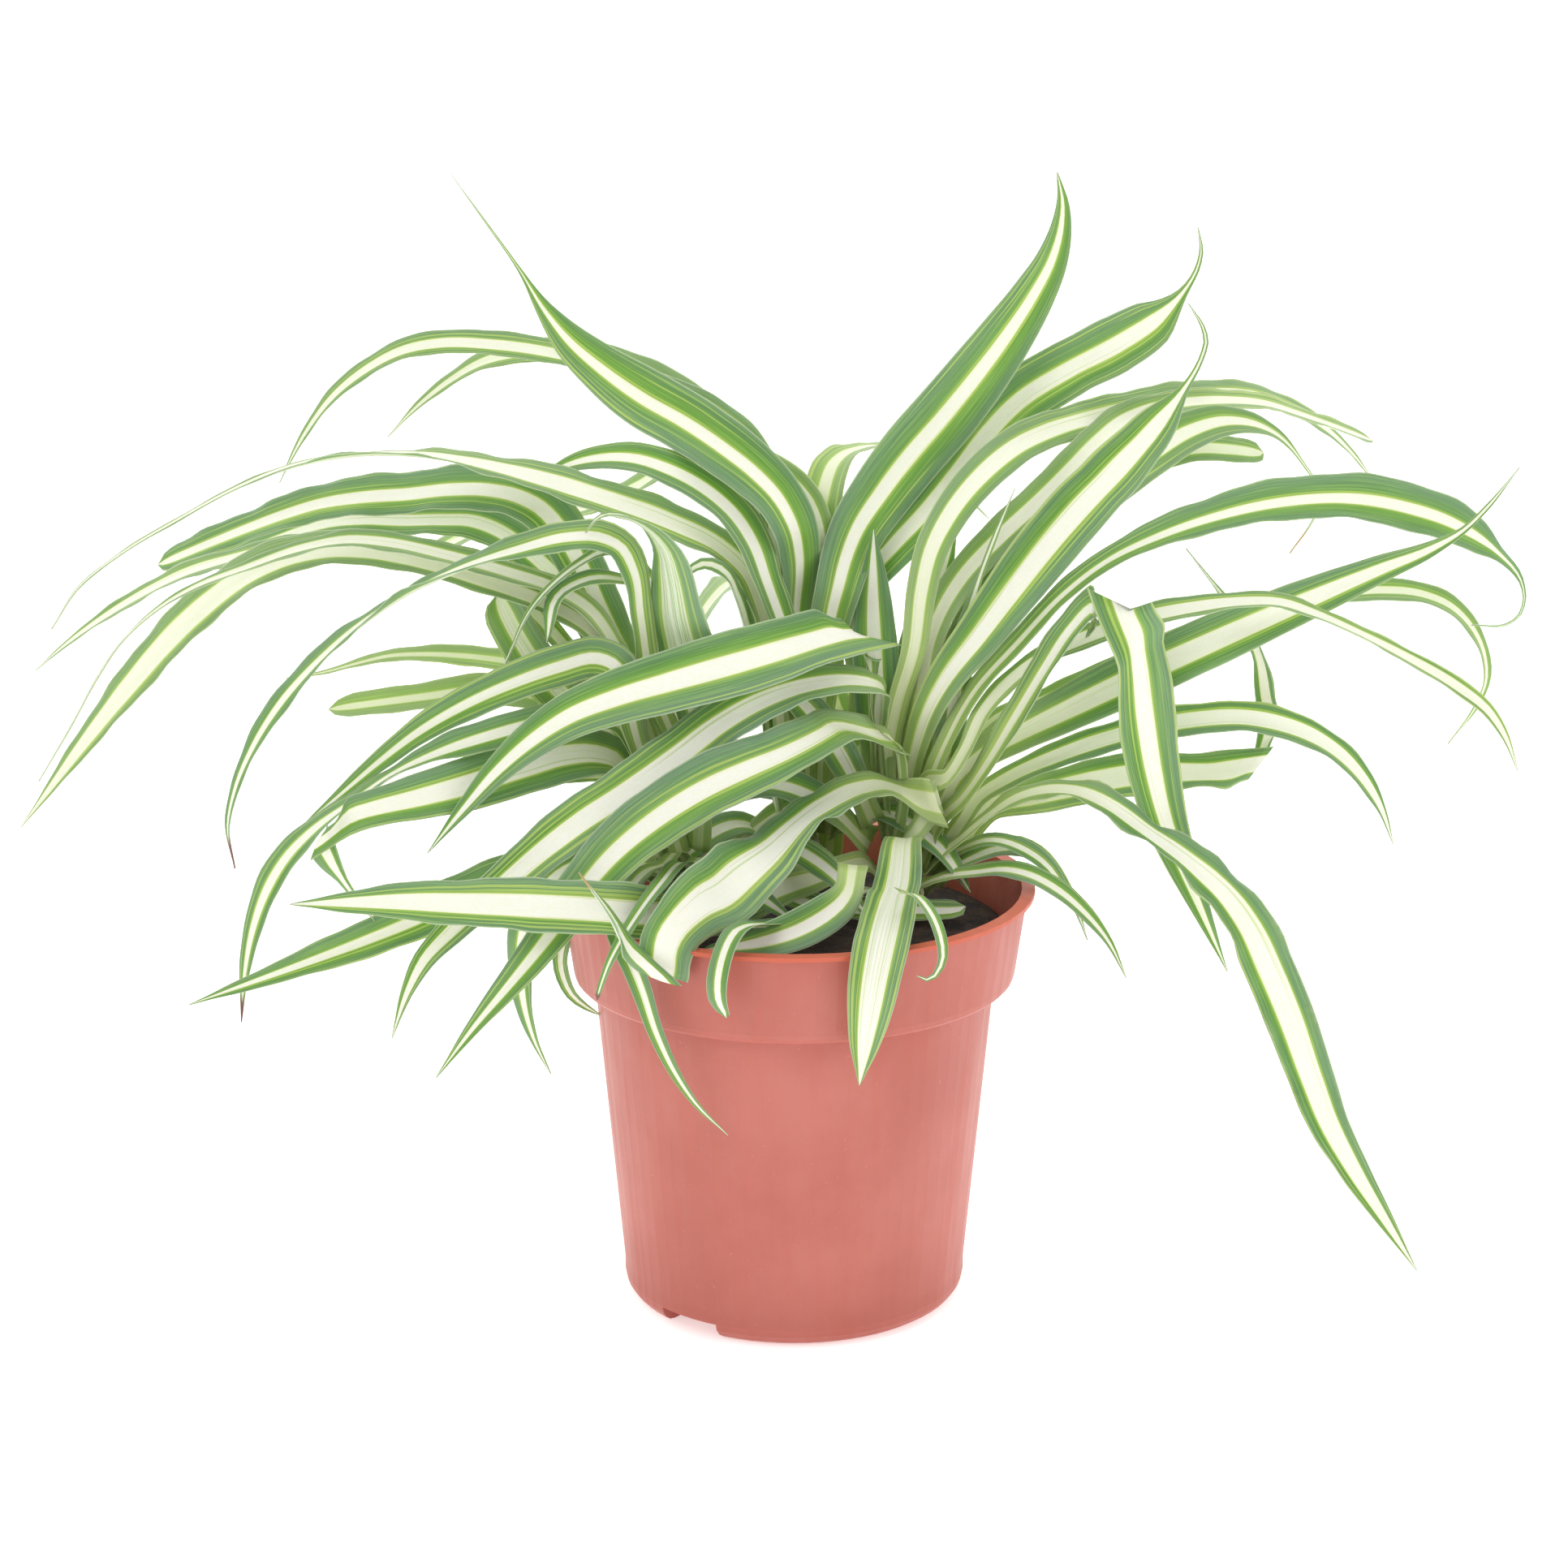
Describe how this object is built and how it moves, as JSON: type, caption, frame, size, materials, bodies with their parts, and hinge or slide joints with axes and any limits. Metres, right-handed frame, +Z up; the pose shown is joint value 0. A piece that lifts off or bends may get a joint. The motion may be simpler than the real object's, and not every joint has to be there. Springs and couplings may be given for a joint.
{
  "type": "potted spider plant",
  "caption": "Spider plant with long arching cream-striped green leaves, some sharply kinked, in a round tapered terracotta-coloured plastic nursery pot filled with dark soil.",
  "frame": {"origin": "middle of the whole plant's footprint (its bounding box seen from above), on the surface the pot stands on; the pot's own axis is about 10 mm to the right of it and 31 mm in front of it", "axes": "+X to the right along the plant's longest extent, +Y to the back, +Z up; -Z is the way the pot's foot ring faces"},
  "size_m": [0.3872, 0.2064, 0.277],
  "materials": {
    "pot_plastic": "satin",
    "soil": "matt",
    "shoot": "satin",
    "leaf": "satin"
  },
  "bodies": {
    "root": {"leaf_arch_left_far": "leaf", "leaf_arch_left_middle": "leaf", "leaf_arch_right": "leaf", "leaf_arch_right_cut": "leaf", "leaf_arch_right_far": "leaf", "leaf_back_centre": "leaf", "leaf_back_left_cut": "leaf", "leaf_back_middle": "leaf", "leaf_back_right": "leaf", "leaf_bow_left": "leaf", "leaf_bow_right": "leaf", "leaf_brown_tip": "leaf", "leaf_curl_right": "leaf", "leaf_droop_left_thin": "leaf", "leaf_droop_left_wide": "leaf", "leaf_drooping_right": "leaf", "leaf_folded_centre": "leaf", "leaf_front_left_folded": "leaf", "leaf_front_left_hanging": "leaf", "leaf_front_left_upper": "leaf", "leaf_hanging_front": "leaf", "leaf_hanging_left": "leaf", "leaf_hanging_pot_front": "leaf", "leaf_hook_front": "leaf", "leaf_kinked_front": "leaf", "leaf_kinked_middle": "leaf", "leaf_kinked_right": "leaf", "leaf_kinked_top": "leaf", "leaf_long_left": "leaf", "leaf_long_right_hanging": "leaf", "leaf_low_front_left": "leaf", "leaf_low_left_back": "leaf", "leaf_low_left_cut": "leaf", "leaf_low_left_front": "leaf", "leaf_low_right": "leaf", "leaf_low_right_folded": "leaf", "leaf_right_cut": "leaf", "leaf_rim_right": "leaf", "leaf_rim_right_back": "leaf", "leaf_soil": "leaf", "leaf_straight_right": "leaf", "leaf_strap_left": "leaf", "leaf_stub_left": "leaf", "leaf_tall_left": "leaf", "leaf_tall_right": "leaf", "leaf_tall_right_low": "leaf", "leaf_thin_left": "leaf", "leaf_twisted_front": "leaf", "leaf_upright_right": "leaf", "leaf_wide_left": "leaf", "leaf_wide_left_under": "leaf", "leaf_wisp_left": "leaf", "leaf_young_broad": "leaf", "leaf_young_right": "leaf", "leaf_young_upright": "leaf", "pot": "pot_plastic", "shoot_back": "shoot", "shoot_left": "shoot", "shoot_right": "shoot", "soil": "soil"}
  },
  "joints": []
}
